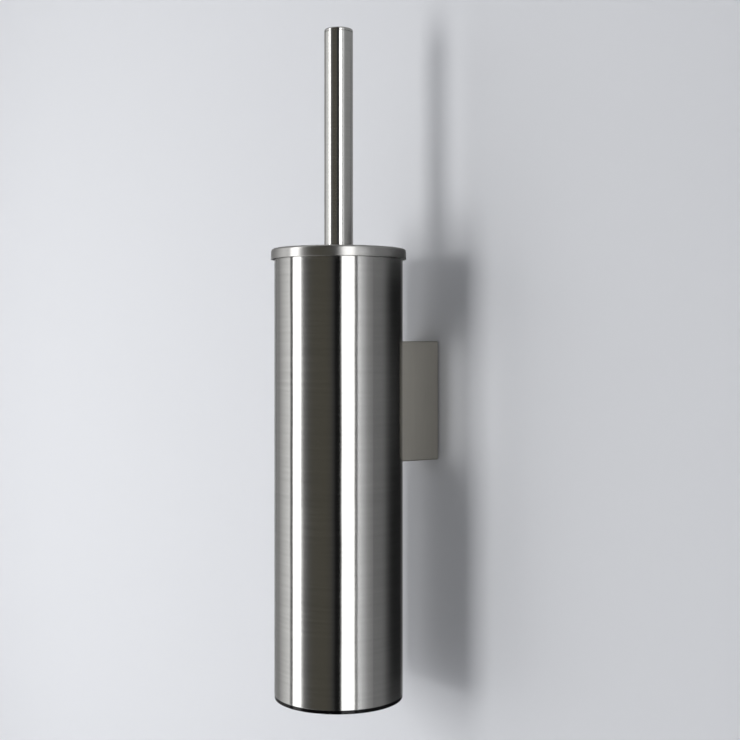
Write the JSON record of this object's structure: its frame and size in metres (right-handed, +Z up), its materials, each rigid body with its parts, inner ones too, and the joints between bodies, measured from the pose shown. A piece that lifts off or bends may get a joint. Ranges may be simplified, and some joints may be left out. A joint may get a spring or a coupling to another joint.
{
  "type": "toilet brush holder",
  "caption": "Wall-hung toilet brush and holder: a tall round steel canister on a square bracket block, closed by the lid of a brush with a slim tube grip.",
  "frame": {"origin": "on the wall's face, at the middle of the bracket", "axes": "+Y into the wall, out of the wall plate's back face; +Z up, along the canister's axis; -Y away from the wall"},
  "size_m": [0.0804, 0.1022, 0.3956],
  "materials": {
    "cast_plate": "as cast, lightly blasted",
    "screw_steel": "plain stainless",
    "plate_steel": "mill finish",
    "bracket_steel": "satin",
    "canister_steel": "fine brushing round the tube",
    "black_plastic": "moulded, slight sheen",
    "liner_plastic": "moulded, satin",
    "lid_steel": "fine brushing round the disc",
    "grip_steel": "fine brushing round the tube",
    "stem_steel": "bright drawn",
    "insert_brass": "turned",
    "core_plastic": "moulded, satin",
    "bristle_plastic": "bristle"
  },
  "bodies": {
    "wall_bracket": {"wall_plate": "cast_plate"},
    "holder": {"canister_shell": "canister_steel", "base_cap": "black_plastic", "bracket_housing": "bracket_steel", "hanger_plate": "plate_steel", "saddle_washers": "screw_steel", "bracket_screws": "screw_steel"},
    "lock_screw": {"lock_screw": "screw_steel"},
    "liner": {"liner_cup": "liner_plastic"},
    "brush": {"lid": "lid_steel", "lid_seat": "black_plastic", "grip_tube": "grip_steel", "grip_cap": "grip_steel", "grip_plug": "screw_steel", "stem_rod": "stem_steel", "stem_washer": "screw_steel", "head_insert": "insert_brass", "brush_core": "core_plastic", "bristle_tufts": "bristle_plastic"}
  },
  "joints": [
    {"name": "holder_lift", "type": "slide", "parent": "wall_bracket", "child": "holder", "axis": [0, 0, 1], "range_m": [0, 0.006]},
    {"name": "lock_screw_back_out", "type": "slide", "parent": "holder", "child": "lock_screw", "axis": [0, 0, -1], "range_m": [0, 0.006]},
    {"name": "liner_lift", "type": "slide", "parent": "holder", "child": "liner", "axis": [0, 0, 1], "range_m": [0, 0.27]},
    {"name": "brush_lift", "type": "slide", "parent": "liner", "child": "brush", "axis": [0, 0, 1], "range_m": [0, 0.27]}
  ],
  "couplings": [
    {"joint": "lock_screw_back_out", "follows": "holder_lift", "ratio": 1}
  ]
}
